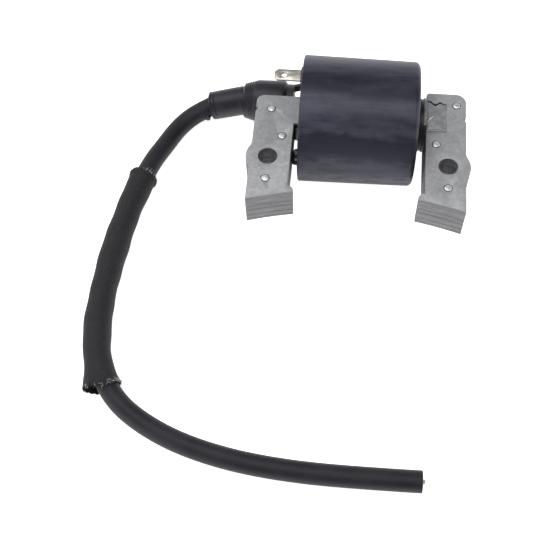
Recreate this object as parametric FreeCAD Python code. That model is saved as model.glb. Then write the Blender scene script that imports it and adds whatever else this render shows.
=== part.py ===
"""Flywheel-magneto ignition coil with its high-tension lead.

Frame: millimetres.  The origin is midway between the two mounting holes, on the rear face of
the legs, which seats on the engine's bosses.  +X runs along the coil from the open end of the
case (left) to its closed end (right), +Y points away from the flywheel and +Z towards the
front face of the core.  Lying on a bench, the coil touches it with the case at z = FLOOR_Z.
"""
import FreeCAD, Part
import math
import os

Vec = FreeCAD.Vector

# ---------------------------------------------------------------- driving dimensions
# core laminations
SHEET = 0.7                     # thickness of one lamination
BAR_SHEETS = 13                 # L-shaped sheets that make the left leg's front and the bar
REAR_SHEETS = 7                 # leg-only sheets behind them
HOLE_D = 6.6                    # clearance for an M6 bolt
HOLE_INSET = 7.7                # from a leg's inner edge to its mounting hole
LEG_WIDTH = 13.7
LEG_TOP_EXTRA = 4.8             # how far the right leg stands above the bar
HOLE_BOSS_R = 7.6               # leg outline swells round the mounting hole
BOSS_BLEND_R = 4.0
LEFT_CORNER_R = 2.7
RIGHT_CORNER_R = 3.6
NOTCH_W = 2.2                   # index notch on the outer edge, level with the bar
NOTCH_DEPTH = 0.8
BAR_W = 11.8
BAR_CENTRE_Y = 20.2             # bar centre line above the mounting holes
BAR_SEAT = 6.8                  # how far the bar's end sits in the right leg
SEAT_GAP = 0.15
POLE_R = 119.0                  # pole faces follow the flywheel's rim
POLE_MID_Y = -15.9              # height of the pole face at the middle of a leg
SHOE_REACH = 2.0                # pole shoe stands inward of the leg
SHOE_H = 2.4
RIVET_D = 2.4
RIVET_HEAD_D = 3.0
RIVET_HEAD_H = 0.3
RIVET_CLEAR = 0.05

# case and winding set
CASE_L = 40.0
OPEN_END_GAP = 2.3              # between the case's open rim and the left leg
CLOSED_END_GAP = 3.3            # between its closed end and the right leg
CASE_R = 22.0                   # at the open end
CASE_DRAFT = 0.5                # the closed end is this much smaller in radius
CASE_WALL = 1.8
CASE_END_WALL = 2.0
CASE_ROUND = 1.8
RESIN_RECESS = 0.6
BOBBIN_R = 8.85                 # round barrel that the bar slides through
BAR_CLEAR = 0.15                # bar to bobbin bore, each side
COIL_SET_BACK = 9.0             # the windings start this far inside the open rim
COIL_END_GAP = 1.0              # and end this far from the closed end's wall
FLANGE_T = 1.0
PRIMARY_BUILD = 3.0             # radial depth of the primary winding
WRAP_T = 0.4
SECONDARY_WALL = 1.0
SECONDARY_BUILD = 3.2
SECONDARY_SECTIONS = 7
BOARD_T = 1.2
BOARD_GAP = 4.1                 # room for the board's parts, up to the windings
BOARD_R = 18.6
# parts on the board: (low, high) from the coil's axis in Y, the same in Z, and their height
POWER_BODY = ((-17.0, -10.0), (-4.0, 5.0), 2.6)
POWER_TAB = ((-16.4, -10.6), (5.0, 8.0), 1.2)
DIODE = ((12.6, 15.4), (-2.6, 2.6), 2.2)
RESISTOR = ((-1.6, 1.6), (-15.2, -13.4), 1.4)
RESISTOR_PITCH = 5.0
TRIGGER_R = 2.4
TRIGGER_H = 3.0
TRIGGER_UP = 13.6               # its centre above the axis
TRIGGER_FLAT = 1.4              # from its centre to the flat on its side

# terminals
BLADE_W = 4.8
BLADE_T = 0.8
BLADE_OUT = 11.1                # length that stands out of the resin
BLADE_NOSE = 1.1                # chamfer of its tip
BLADE_HOLE_D = 1.9
BLADE_HOLE_IN = 3.4             # from the tip to the hole
BLADE_Y = 32.5
BLADE_Z = 17.5
TAB_Y = 4.3                     # earth tab between the resin and the left leg
TAB_Z = 8.0
TAB_T = 3.0
TAB_END_HALF = 2.8              # half its width at the leg, and in the resin
TAB_HALF = 0.8
SEAL_FOOT = (3.5, 1.6, 0.6)     # resin round the blade's root: half width, half height, length
SEAL_TOP = (2.9, 0.9, 1.3)      # and its narrower end
BEAD_T = 0.7                    # resin that ran along the bar
BEAD_SHORT = 0.6                # it stops this much below the bar's front
DROP_R = 0.8
DROP_ANGLE = -70                # degrees from the front, round the case's rim
FILLER_PROUD = 0.25             # varnish stands out of the joint by this much

# high-tension tower, boot and lead
LEAD_D = 7.0
TOWER_Y = 37.8
TOWER_Z = -4.3
TOWER_NECK_R = 6.9
TOWER_NECK_T = 2.8
TOWER_GAP = 4.2                 # between the tower's neck and the case's rim
SOCKET_R = 5.2
SOCKET_L = 11.0
SPIGOT_Y = 33.6
SPIGOT_Z = -1.4
SPIGOT_R = 2.6
SPIGOT_FOOT = 1.0               # the tower's foot is this much wider than the spigot
SPIGOT_IN = 1.5                 # and the spigot reaches this far into the resin
CONTACT_R = 0.6
CONTACT_IN = 5.0                # pin's length in the lead
LINK_IN = 1.2                   # from the neck's end to the link inside it
WIRE_WAY_R = 1.2
STRUT_T = 1.0
STRUT_W = 3.2
STRUT_FOOT = (3.4, 4.4)         # where the strut leaves the neck, from the tower's axis in Y and Z
STRUT_ANGLE = 18.3              # where the strut meets the case's rim, below the level of its axis
BOOT_R = 8.0
BOOT_L = 16.1
BOOT_NOSE_R = 6.6
BOOT_NOSE_L = 4.6
BOOT_ROUND = 0.6
COLLAR_R = 5.3
COLLAR_RINGS = (0.80, 0.90)     # grooves round the collar, as shares of its length
GROOVE_W = 0.5
GROOVE_DEPTH = 0.3
KNEE_R = 5.0                    # bend of the lead where the boot hands it to the collar
LEAD_CLEAR = 0.1                # lead to the bores that it passes
SLEEVE_BORE_CLEAR = 0.2
SLEEVE_WALL = 1.2
STRAND_D = 1.5
STRAND_OUT = 1.0

# route of the free lead, from the mouth of the collar to the cut end
LEAD_ROUTE = [
    (-55.7, 36.7, -7.3), (-60.8, 33.7, -8.1), (-65.1, 29.8, -8.8), (-68.3, 25.0, -9.0),
    (-71.1, 18.3, -8.6), (-74.9, 9.2, -7.6), (-79.0, -6.2, -7.6), (-81.5, -21.8, -7.6),
    (-83.1, -39.0, -7.6), (-83.3, -56.5, -7.6), (-80.7, -71.5, -7.6), (-73.4, -83.0, -7.7),
    (-64.4, -89.6, -9.0), (-50.9, -95.9, -9.0), (-33.6, -100.2, -9.0), (-14.3, -102.2, -9.0),
    (5.6, -102.5, -9.0), (26.1, -102.1, -9.0),
]
ROUTE_FROM_X = -43.6            # the boot's mouth where this route starts; the lead moves with it
SLEEVE_RUNS = (5, 10)           # the sleeve starts on one run of the route and ends on another
SLEEVE_ENDS = (0.37, 0.57)      # and this is how far along each run

# ---------------------------------------------------------------- derived
LEG_INNER_X = (CASE_L + OPEN_END_GAP + CLOSED_END_GAP) / 2
LEG_OUTER_X = LEG_INNER_X + LEG_WIDTH
HOLE_X = LEG_INNER_X + HOLE_INSET
REAR_T = REAR_SHEETS * SHEET
STACK_T = REAR_T + BAR_SHEETS * SHEET
AXIS_Y = BAR_CENTRE_Y
AXIS_Z = REAR_T + BAR_SHEETS * SHEET / 2
FLOOR_Z = AXIS_Z - CASE_R
BAR_TOP = BAR_CENTRE_Y + BAR_W / 2
BAR_BOTTOM = BAR_CENTRE_Y - BAR_W / 2
BAR_END_X = LEG_INNER_X + BAR_SEAT
RIGHT_TOP = BAR_TOP + LEG_TOP_EXTRA
POLE_CENTRE_Y = POLE_MID_Y - math.sqrt(POLE_R ** 2 - (LEG_INNER_X + LEG_WIDTH / 2) ** 2)
CASE_LEFT_X = OPEN_END_GAP - LEG_INNER_X
CASE_RIGHT_X = CASE_LEFT_X + CASE_L
RESIN_LEFT_X = CASE_LEFT_X + RESIN_RECESS
CAVITY_RIGHT_X = CASE_RIGHT_X - CASE_END_WALL
COIL_LEFT_X = CASE_LEFT_X + COIL_SET_BACK
COIL_RIGHT_X = CAVITY_RIGHT_X - COIL_END_GAP
BOARD_RIGHT_X = COIL_LEFT_X - BOARD_GAP
TOWER_RIGHT_X = CASE_LEFT_X - TOWER_GAP
BOBBIN_BORE_W = BAR_W + 2 * BAR_CLEAR
BOBBIN_BORE_H = BAR_SHEETS * SHEET + 2 * BAR_CLEAR
PRIMARY_R = BOBBIN_R + PRIMARY_BUILD
WRAP_R = PRIMARY_R + WRAP_T
SECONDARY_BARREL_R = WRAP_R + SECONDARY_WALL
SECONDARY_R = SECONDARY_BARREL_R + SECONDARY_BUILD
NECK_LEFT_X = TOWER_RIGHT_X - TOWER_NECK_T
BOOT_LEFT_X = NECK_LEFT_X - BOOT_L
COLLAR_START = Vec(BOOT_LEFT_X, TOWER_Y, TOWER_Z)
LEAD_R = LEAD_D / 2
ROUTE = [Vec(x + BOOT_LEFT_X - ROUTE_FROM_X, y, z) for x, y, z in LEAD_ROUTE]
# rivet places: (x, y) in the left leg and in the right leg
LEFT_RIVETS = [(-(HOLE_X + 0.5), BAR_CENTRE_Y), (-(LEG_INNER_X + 3.5), 8.7), (-HOLE_X, -9.2)]
RIGHT_RIVETS = [(HOLE_X + 2.7, BAR_TOP - 0.2), (LEG_INNER_X + 3.5, 8.9), (HOLE_X, -8.8)]


# ---------------------------------------------------------------- helpers
def line(a, b):
    return Part.LineSegment(a, b).toShape()


def arc(a, mid, b):
    return Part.Arc(a, mid, b).toShape()


def on_circle(cx, cy, r, angle):
    return Vec(cx + r * math.cos(angle), cy + r * math.sin(angle), 0)


def rod(x_from, x_to, y, z, r):
    """Cylinder along +X between two x values."""
    return Part.makeCylinder(r, x_to - x_from, Vec(x_from, y, z), Vec(1, 0, 0))


def axis_rod(x_from, x_to, r):
    return rod(x_from, x_to, AXIS_Y, AXIS_Z, r)


def ring(x_from, x_to, r_in, r_out):
    return axis_rod(x_from, x_to, r_out).cut(axis_rod(x_from - 1, x_to + 1, r_in))


def box(x, y, z):
    """Box from three (low, high) pairs."""
    return Part.makeBox(x[1] - x[0], y[1] - y[0], z[1] - z[0], Vec(x[0], y[0], z[0]))


def revolve_x(profile, y, z):
    """Turn (x, r) points round the line along X through (y, z)."""
    points = [Vec(px, y + pr, z) for px, pr in profile]
    face = Part.Face(Part.makePolygon(points + points[:1]))
    return face.revolve(Vec(0, y, z), Vec(1, 0, 0), 360)


def save(name, shape):
    solids = shape.Solids
    assert solids and all(s.isValid() for s in solids), name
    result = solids[0] if len(solids) == 1 else Part.makeCompound(solids)
    result.exportStep("parts/%s.step" % name)
    print("%-26s solids %2d  volume %9.1f mm3" % (name, len(solids), sum(s.Volume for s in solids)))


def mirror_x(shape):
    return shape.mirror(Vec(0, 0, 0), Vec(1, 0, 0))


# ---------------------------------------------------------------- core
def pole_y(x):
    return POLE_CENTRE_Y + math.sqrt(POLE_R ** 2 - x ** 2)


def leg_face(top_y, corner_r, inner_chamfer):
    """Outline of one lamination of the right leg, as a face in the z = 0 plane."""
    tip_x = LEG_INNER_X - SHOE_REACH
    tip_y = pole_y(tip_x)
    toe_y = pole_y(LEG_OUTER_X)
    step = SHOE_H / 2
    mid_x = (tip_x + LEG_OUTER_X) / 2
    tangent = HOLE_BOSS_R + BOSS_BLEND_R
    side = LEG_OUTER_X - HOLE_X
    blend_y = math.sqrt(tangent ** 2 - (side + BOSS_BLEND_R) ** 2)
    boss_angle = math.atan2(blend_y, side + BOSS_BLEND_R)
    blend_mid = math.pi + boss_angle / 2
    boss_low = on_circle(HOLE_X, 0, HOLE_BOSS_R, -boss_angle)
    boss_high = on_circle(HOLE_X, 0, HOLE_BOSS_R, boss_angle)
    blend_x = LEG_OUTER_X + BOSS_BLEND_R
    edge_low = Vec(LEG_OUTER_X, -blend_y, 0)
    edge_high = Vec(LEG_OUTER_X, blend_y, 0)
    notch = [Vec(LEG_OUTER_X, BAR_CENTRE_Y - NOTCH_W / 2, 0),
             Vec(LEG_OUTER_X - NOTCH_DEPTH, BAR_CENTRE_Y - NOTCH_W / 4, 0),
             Vec(LEG_OUTER_X - NOTCH_DEPTH, BAR_CENTRE_Y + NOTCH_W / 4, 0),
             Vec(LEG_OUTER_X, BAR_CENTRE_Y + NOTCH_W / 2, 0)]
    corner = Vec(LEG_OUTER_X - corner_r, top_y - corner_r, 0)
    corner_mid = on_circle(corner.x, corner.y, corner_r, math.pi / 4)
    shoe_top = Vec(LEG_INNER_X, tip_y + SHOE_H, 0)
    edges = [
        arc(Vec(tip_x, tip_y, 0), Vec(mid_x, pole_y(mid_x), 0), Vec(LEG_OUTER_X, toe_y, 0)),
        line(Vec(LEG_OUTER_X, toe_y, 0), edge_low),
        arc(edge_low, on_circle(blend_x, -blend_y, BOSS_BLEND_R, -blend_mid), boss_low),
        arc(boss_low, Vec(HOLE_X + HOLE_BOSS_R, 0, 0), boss_high),
        arc(boss_high, on_circle(blend_x, blend_y, BOSS_BLEND_R, blend_mid), edge_high),
        line(edge_high, notch[0]),
        line(notch[0], notch[1]),
        line(notch[1], notch[2]),
        line(notch[2], notch[3]),
        line(notch[3], Vec(LEG_OUTER_X, corner.y, 0)),
        arc(Vec(LEG_OUTER_X, corner.y, 0), corner_mid, Vec(corner.x, top_y, 0)),
        line(Vec(corner.x, top_y, 0), Vec(LEG_INNER_X + inner_chamfer, top_y, 0)),
        line(Vec(LEG_INNER_X + inner_chamfer, top_y, 0), Vec(LEG_INNER_X, top_y - inner_chamfer, 0)),
        line(Vec(LEG_INNER_X, top_y - inner_chamfer, 0), shoe_top),
        line(shoe_top, Vec(LEG_INNER_X - SHOE_REACH + step, shoe_top.y, 0)),
        line(Vec(LEG_INNER_X - SHOE_REACH + step, shoe_top.y, 0), Vec(tip_x, tip_y + step, 0)),
        line(Vec(tip_x, tip_y + step, 0), Vec(tip_x, tip_y, 0)),
    ]
    return Part.Face(Part.Wire(edges))


def punch(plate, rivets, side):
    """Cut the mounting hole and the rivet holes of one leg."""
    holes = [(side * HOLE_X, 0.0, HOLE_D / 2)]
    holes += [(x, y, RIVET_D / 2 + RIVET_CLEAR) for x, y in rivets]
    for x, y, r in holes:
        plate = plate.cut(Part.makeCylinder(r, 3 * SHEET, Vec(x, y, -SHEET)))
    return plate


def stack(plate, first, count):
    """Copies of one lamination, one on the other."""
    sheets = []
    for index in range(first, first + count):
        sheet = plate.copy()
        sheet.translate(Vec(0, 0, index * SHEET))
        sheets.append(sheet)
    return Part.makeCompound(sheets)


def left_leg_plate():
    return mirror_x(leg_face(BAR_TOP, LEFT_CORNER_R, 0.4).extrude(Vec(0, 0, SHEET)))


def right_leg_plate():
    return leg_face(RIGHT_TOP, RIGHT_CORNER_R, 0.7).extrude(Vec(0, 0, SHEET))


def make_core():
    bar = box((-LEG_INNER_X - 1.0, BAR_END_X), (BAR_BOTTOM, BAR_TOP), (0, SHEET))
    ell = left_leg_plate().fuse(bar).removeSplitter()
    save("bar_laminations", stack(punch(ell, LEFT_RIVETS, -1), REAR_SHEETS, BAR_SHEETS))
    rear_left = punch(left_leg_plate(), LEFT_RIVETS, -1)
    save("left_rear_laminations", stack(rear_left, 0, REAR_SHEETS))
    seat = box((LEG_INNER_X - 1, BAR_END_X + SEAT_GAP),
               (BAR_BOTTOM - SEAT_GAP, BAR_TOP + SEAT_GAP), (-SHEET, 2 * SHEET))
    front_right = punch(right_leg_plate().cut(seat), RIGHT_RIVETS, 1)
    save("right_leg_laminations", stack(front_right, REAR_SHEETS, BAR_SHEETS))
    rear_right = punch(right_leg_plate(), RIGHT_RIVETS, 1)
    save("right_rear_laminations", stack(rear_right, 0, REAR_SHEETS))


def rivet(x, y):
    """Shank with a low peened head on each face of the stack."""
    shank_r = RIVET_D / 2
    head_r = RIVET_HEAD_D / 2
    top = STACK_T + RIVET_HEAD_H
    profile = [(0, -RIVET_HEAD_H), (head_r * 0.7, -RIVET_HEAD_H), (head_r, 0), (shank_r, 0),
               (shank_r, STACK_T), (head_r, STACK_T), (head_r * 0.7, top), (0, top)]
    points = [Vec(x + r, y, z) for r, z in profile]
    face = Part.Face(Part.makePolygon(points + points[:1]))
    return face.revolve(Vec(x, y, 0), Vec(0, 0, 1), 360)


def make_rivets():
    save("left_leg_rivets", Part.makeCompound([rivet(x, y) for x, y in LEFT_RIVETS]))
    save("right_leg_rivets", Part.makeCompound([rivet(x, y) for x, y in RIGHT_RIVETS]))


# ---------------------------------------------------------------- winding set
def bar_hole(x_from, x_to, grow=0.0):
    """The bar's rectangular way through the bobbin."""
    half_w = BOBBIN_BORE_W / 2 + grow
    half_h = BOBBIN_BORE_H / 2 + grow
    return box((x_from, x_to), (AXIS_Y - half_w, AXIS_Y + half_w), (AXIS_Z - half_h, AXIS_Z + half_h))


def primary_bobbin():
    barrel = axis_rod(RESIN_LEFT_X, LEG_INNER_X, BOBBIN_R)
    left = axis_rod(COIL_LEFT_X, COIL_LEFT_X + FLANGE_T, PRIMARY_R)
    right = axis_rod(COIL_RIGHT_X - FLANGE_T, COIL_RIGHT_X, PRIMARY_R)
    body = barrel.fuse(left).fuse(right).removeSplitter()
    return body.cut(bar_hole(RESIN_LEFT_X - 1, LEG_INNER_X + 1))


def secondary_bobbin():
    body = axis_rod(COIL_LEFT_X, COIL_RIGHT_X, SECONDARY_BARREL_R)
    pitch = (COIL_RIGHT_X - COIL_LEFT_X - FLANGE_T) / SECONDARY_SECTIONS
    for index in range(SECONDARY_SECTIONS + 1):
        x = COIL_LEFT_X + index * pitch
        body = body.fuse(axis_rod(x, x + FLANGE_T, SECONDARY_R))
    return body.cut(axis_rod(COIL_LEFT_X - 1, COIL_RIGHT_X + 1, WRAP_R)).removeSplitter()


def secondary_sections():
    pitch = (COIL_RIGHT_X - COIL_LEFT_X - FLANGE_T) / SECONDARY_SECTIONS
    build = SECONDARY_BUILD * 0.85
    sections = []
    for index in range(SECONDARY_SECTIONS):
        x = COIL_LEFT_X + index * pitch + FLANGE_T
        sections.append(ring(x, x + pitch - FLANGE_T, SECONDARY_BARREL_R, SECONDARY_BARREL_R + build))
    return Part.makeCompound(sections)


def on_board(part, shift=0.0):
    """Block that stands on the board's face, moved along Y."""
    (y_low, y_high), (z_low, z_high), height = part
    return box((BOARD_RIGHT_X, BOARD_RIGHT_X + height),
               (AXIS_Y + y_low + shift, AXIS_Y + y_high + shift), (AXIS_Z + z_low, AXIS_Z + z_high))


def board_parts():
    """The trigger board, a ring round the bobbin, and what is soldered to it."""
    right = BOARD_RIGHT_X
    board = ring(right - BOARD_T, right, BOBBIN_R, BOARD_R)
    wire_way = rod(right - BOARD_T - 1, right + 1, SPIGOT_Y, SPIGOT_Z, WIRE_WAY_R)
    trigger_z = AXIS_Z + TRIGGER_UP
    trigger = rod(right, right + TRIGGER_H, AXIS_Y, trigger_z, TRIGGER_R)
    flat = box((right - 1, right + TRIGGER_H + 1), (AXIS_Y - TRIGGER_R, AXIS_Y + TRIGGER_R),
               (trigger_z + TRIGGER_FLAT, trigger_z + TRIGGER_R + 1))
    resistors = [on_board(RESISTOR, step * RESISTOR_PITCH) for step in (-1, 0, 1)]
    return {
        "trigger_board": board.cut(wire_way),
        "power_transistor": on_board(POWER_BODY).fuse(on_board(POWER_TAB)).removeSplitter(),
        "trigger_transistor": trigger.cut(flat),
        "board_resistors": Part.makeCompound(resistors),
        "clamp_diode": on_board(DIODE),
    }


def blade_terminal():
    """Flat blade for the stop-switch wire, with its tip chamfered."""
    left = RESIN_LEFT_X - BLADE_OUT
    right = BOARD_RIGHT_X - BOARD_T
    half = BLADE_W / 2
    nose = BLADE_NOSE
    points = [(left, -half + nose), (left + nose, -half), (right, -half), (right, half),
              (left + nose, half), (left, half - nose)]
    outline = [Vec(x, BLADE_Y + y, BLADE_Z - BLADE_T / 2) for x, y in points]
    blade = Part.Face(Part.makePolygon(outline + outline[:1])).extrude(Vec(0, 0, BLADE_T))
    through = Vec(left + BLADE_HOLE_IN, BLADE_Y, BLADE_Z - BLADE_T)
    hole = Part.makeCylinder(BLADE_HOLE_D / 2, 2 * BLADE_T, through)
    return blade.cut(hole)


def blade_seal(blade):
    """Bead of resin that climbs the blade where it leaves the coil."""
    right = RESIN_LEFT_X
    blocks = []
    for half_w, half_h, length in (SEAL_FOOT, SEAL_TOP):
        blocks.append(box((right - length, right), (BLADE_Y - half_w, BLADE_Y + half_w),
                          (BLADE_Z - half_h, BLADE_Z + half_h)))
        right -= length
    return blocks[0].fuse(blocks[1]).removeSplitter().cut(blade)


def earth_tab():
    """Folded tab that joins the circuit's earth to the left leg."""
    fold_x = RESIN_LEFT_X - RESIN_RECESS
    end_x = BOARD_RIGHT_X - BOARD_T
    points = [(-LEG_INNER_X, TAB_END_HALF), (fold_x, TAB_HALF), (end_x, TAB_HALF),
              (end_x, -TAB_HALF), (fold_x, -TAB_HALF), (-LEG_INNER_X, -TAB_END_HALF)]
    outline = [Vec(x, TAB_Y + y, TAB_Z - TAB_T / 2) for x, y in points]
    return Part.Face(Part.makePolygon(outline + outline[:1])).extrude(Vec(0, 0, TAB_T))


def case_shell():
    r_open = CASE_R
    r_shut = CASE_R - CASE_DRAFT
    outer = revolve_x([(CASE_LEFT_X, 0), (CASE_LEFT_X, r_open), (CASE_RIGHT_X, r_shut),
                       (CASE_RIGHT_X, 0)], AXIS_Y, AXIS_Z)
    rim = [e for e in outer.Edges
           if abs(e.CenterOfMass.x - CASE_RIGHT_X) < 0.01 and e.Length > math.pi * r_shut]
    outer = outer.makeFillet(CASE_ROUND, rim)
    return outer.cut(case_cavity()).cut(axis_rod(CAVITY_RIGHT_X - 1, CASE_RIGHT_X + 1, BOBBIN_R))


def case_cavity():
    share = (CAVITY_RIGHT_X - CASE_LEFT_X) / CASE_L
    r_open = CASE_R - CASE_WALL
    r_shut = r_open - CASE_DRAFT * share
    return revolve_x([(CASE_LEFT_X, 0), (CASE_LEFT_X, r_open), (CAVITY_RIGHT_X, r_shut),
                      (CAVITY_RIGHT_X, 0)], AXIS_Y, AXIS_Z)


def resin_fill(held):
    """Resin fills the case up to just below the open rim, round all that it holds."""
    fill = case_cavity().cut(box((CASE_LEFT_X - 1, RESIN_LEFT_X), (-60, 60), (-60, 60)))
    fill = fill.cut(axis_rod(RESIN_LEFT_X - 1, CAVITY_RIGHT_X + 1, BOBBIN_R))
    for shape in held:
        fill = fill.cut(shape)
    return Part.makeCompound([s for s in fill.Solids if s.Volume > 1.0])


def resin_beads():
    """Resin that ran out: along the bar's lower side, and one drop on the rim."""
    bead = box((-LEG_INNER_X, RESIN_LEFT_X), (BAR_BOTTOM - BEAD_T, BAR_BOTTOM),
               (REAR_T, STACK_T - BEAD_SHORT))
    angle = math.radians(DROP_ANGLE)
    reach = CASE_R - CASE_WALL / 2
    middle = Vec(CASE_LEFT_X, AXIS_Y + reach * math.sin(angle), AXIS_Z + reach * math.cos(angle))
    outside = axis_rod(CASE_LEFT_X - 2 * DROP_R, CASE_LEFT_X, 2 * CASE_R)
    return Part.makeCompound([bead, Part.makeSphere(DROP_R, middle).common(outside)])


def joint_filler():
    """Varnish that fills the gap between the bar's end and its seat, a little proud."""
    low = REAR_T
    high = STACK_T + FILLER_PROUD
    outer = box((LEG_INNER_X, BAR_END_X + SEAT_GAP),
                (BAR_BOTTOM - SEAT_GAP, BAR_TOP + SEAT_GAP), (low, high))
    bar = box((LEG_INNER_X - 1, BAR_END_X), (BAR_BOTTOM, BAR_TOP), (low - 1, high + 1))
    return outer.cut(bar)


# ---------------------------------------------------------------- tower and lead
def contact_wire(r):
    """High-tension path: a pin in the lead's core, a link, and a wire through the spigot."""
    link_x = NECK_LEFT_X + LINK_IN
    pin = rod(NECK_LEFT_X - CONTACT_IN, link_x, TOWER_Y, TOWER_Z, r)
    run = Vec(0, SPIGOT_Y - TOWER_Y, SPIGOT_Z - TOWER_Z)
    link = Part.makeCylinder(r, run.Length, Vec(link_x, TOWER_Y, TOWER_Z), run)
    tail = rod(link_x, COIL_LEFT_X, SPIGOT_Y, SPIGOT_Z, r)
    ends = [Part.makeSphere(r, Vec(link_x, TOWER_Y, TOWER_Z)),
            Part.makeSphere(r, Vec(link_x, SPIGOT_Y, SPIGOT_Z))]
    return pin.multiFuse([link, tail] + ends)


def lead_tower(contact):
    neck = rod(NECK_LEFT_X, TOWER_RIGHT_X, TOWER_Y, TOWER_Z, TOWER_NECK_R)
    foot = rod(NECK_LEFT_X, TOWER_RIGHT_X, SPIGOT_Y, SPIGOT_Z, SPIGOT_R + SPIGOT_FOOT)
    spigot = rod(TOWER_RIGHT_X, RESIN_LEFT_X + SPIGOT_IN, SPIGOT_Y, SPIGOT_Z, SPIGOT_R)
    socket = rod(NECK_LEFT_X - SOCKET_L, NECK_LEFT_X, TOWER_Y, TOWER_Z, SOCKET_R)
    bore = rod(NECK_LEFT_X - SOCKET_L - 1, NECK_LEFT_X, TOWER_Y, TOWER_Z, LEAD_R + LEAD_CLEAR)
    body = neck.multiFuse([foot, spigot, socket]).removeSplitter().cut(bore)
    return body.cut(contact)


def tower_strut():
    """Thin strut from the top of the tower's neck to the rim of the case."""
    half_y = STRUT_T / 2
    half_z = STRUT_W / 2
    rim_r = CASE_R - CASE_WALL / 2
    angle = math.radians(STRUT_ANGLE)
    foot_y, foot_z = STRUT_FOOT
    foot = (TOWER_RIGHT_X, TOWER_Y + foot_y, TOWER_Z + foot_z)
    head = (CASE_LEFT_X, AXIS_Y + rim_r * math.cos(angle), AXIS_Z - rim_r * math.sin(angle))
    sections = []
    for x, y, z in (foot, head):
        corners = [Vec(x, y - half_y, z - half_z), Vec(x, y + half_y, z - half_z),
                   Vec(x, y + half_y, z + half_z), Vec(x, y - half_y, z + half_z)]
        sections.append(Part.makePolygon(corners + corners[:1]))
    return Part.makeLoft(sections, True, True)


def tower_boot():
    left = BOOT_LEFT_X
    blunt = BOOT_ROUND
    body = revolve_x([(left, 0), (left, BOOT_NOSE_R - blunt), (left + blunt, BOOT_NOSE_R),
                      (left + BOOT_NOSE_L, BOOT_R), (NECK_LEFT_X - blunt, BOOT_R),
                      (NECK_LEFT_X, BOOT_R - blunt), (NECK_LEFT_X, 0)], TOWER_Y, TOWER_Z)
    body = body.cut(rod(NECK_LEFT_X - SOCKET_L, NECK_LEFT_X + 1, TOWER_Y, TOWER_Z, SOCKET_R))
    return body.cut(rod(left - 1, NECK_LEFT_X, TOWER_Y, TOWER_Z, LEAD_R + LEAD_CLEAR))


def beyond_mouth():
    """Block past the plane where the collar ends and the free lead begins."""
    start = ROUTE[0]
    out = (ROUTE[1] - start).normalize()
    size = 30.0
    plane = Part.Face(Part.Wire(Part.makeCircle(size, start, out)))
    return plane.extrude(out * size)


def collar_parts():
    """Strain-relief collar, and the stretch of the lead inside it, the boot and the tower."""
    mouth = ROUTE[0]
    run = mouth - COLLAR_START
    spare = 4.0
    start = COLLAR_START - run.normalize() * spare
    run = mouth - COLLAR_START
    length = run.Length + 2 * spare
    body = Part.makeCone(COLLAR_R, COLLAR_R - 0.1, length, start, run)
    for place in COLLAR_RINGS:
        groove_at = COLLAR_START + run * place
        groove = Part.makeCylinder(COLLAR_R + 1, GROOVE_W, groove_at, run)
        groove = groove.cut(Part.makeCylinder(COLLAR_R - GROOVE_DEPTH, GROOVE_W, groove_at, run))
        body = body.cut(groove)
    points = [Vec(NECK_LEFT_X - 0.2, TOWER_Y, TOWER_Z), COLLAR_START, mouth + run * 0.3]
    inner = sweep(route_wire(points, [KNEE_R]), points[0], points[1], LEAD_R)
    beyond = beyond_mouth()
    outside_boot = box((BOOT_LEFT_X - 40, BOOT_LEFT_X), (0, 80), (-40, 40))
    inner = inner.cut(beyond)
    body = body.cut(beyond).common(outside_boot)
    return body.cut(inner), inner


def route_arcs(points):
    """Radius of the arc at each inner point: 0.45 of the shorter run over tan(half turn)."""
    radii = []
    for before, here, after in zip(points, points[1:], points[2:]):
        run_in = here - before
        run_out = after - here
        half = run_in.getAngle(run_out) / 2
        radii.append(0.45 * min(run_in.Length, run_out.Length) / math.tan(half))
    return radii


def route_wire(points, radii):
    """Straight runs joined by tangent arcs."""
    edges = []
    last = points[0]
    for index, radius in enumerate(radii):
        here = points[index + 1]
        run_in = (here - points[index]).normalize()
        run_out = (points[index + 2] - here).normalize()
        half = run_in.getAngle(run_out) / 2
        reach = radius * math.tan(half)
        start = here - run_in * reach
        end = here + run_out * reach
        towards = (run_out - run_in).normalize()
        middle = here + towards * (radius / math.cos(half) - radius)
        edges.append(line(last, start))
        edges.append(arc(start, middle, end))
        last = end
    edges.append(line(last, points[-1]))
    return Part.Wire(edges)


def sweep(wire, start, ahead, r):
    circle = Part.Wire(Part.makeCircle(r, start, ahead - start))
    return wire.makePipeShell([circle], True, False)


def lead_parts():
    radii = route_arcs(ROUTE)
    wire = route_wire(ROUTE, radii)
    jacket = sweep(wire, ROUTE[0], ROUTE[1], LEAD_R)
    expected = math.pi * LEAD_R ** 2 * wire.Length
    print("lead length %.1f mm, radii" % wire.Length, " ".join("%.0f" % r for r in radii))
    print("lead volume %.1f, section times length %.1f" % (jacket.Volume, expected))

    first, last = SLEEVE_RUNS
    head = ROUTE[first] + (ROUTE[first + 1] - ROUTE[first]) * SLEEVE_ENDS[0]
    tail = ROUTE[last] + (ROUTE[last + 1] - ROUTE[last]) * SLEEVE_ENDS[1]
    inner_points = [head] + ROUTE[first + 1:last + 1] + [tail]
    sleeve_wire = route_wire(inner_points, radii[first:last])
    bore_r = LEAD_R + SLEEVE_BORE_CLEAR
    outer = sweep(sleeve_wire, head, ROUTE[first + 1], bore_r + SLEEVE_WALL)
    bore = sweep(sleeve_wire, head, ROUTE[first + 1], bore_r)
    print("sleeve length %.1f mm" % sleeve_wire.Length)

    return jacket, outer.cut(bore)


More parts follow.
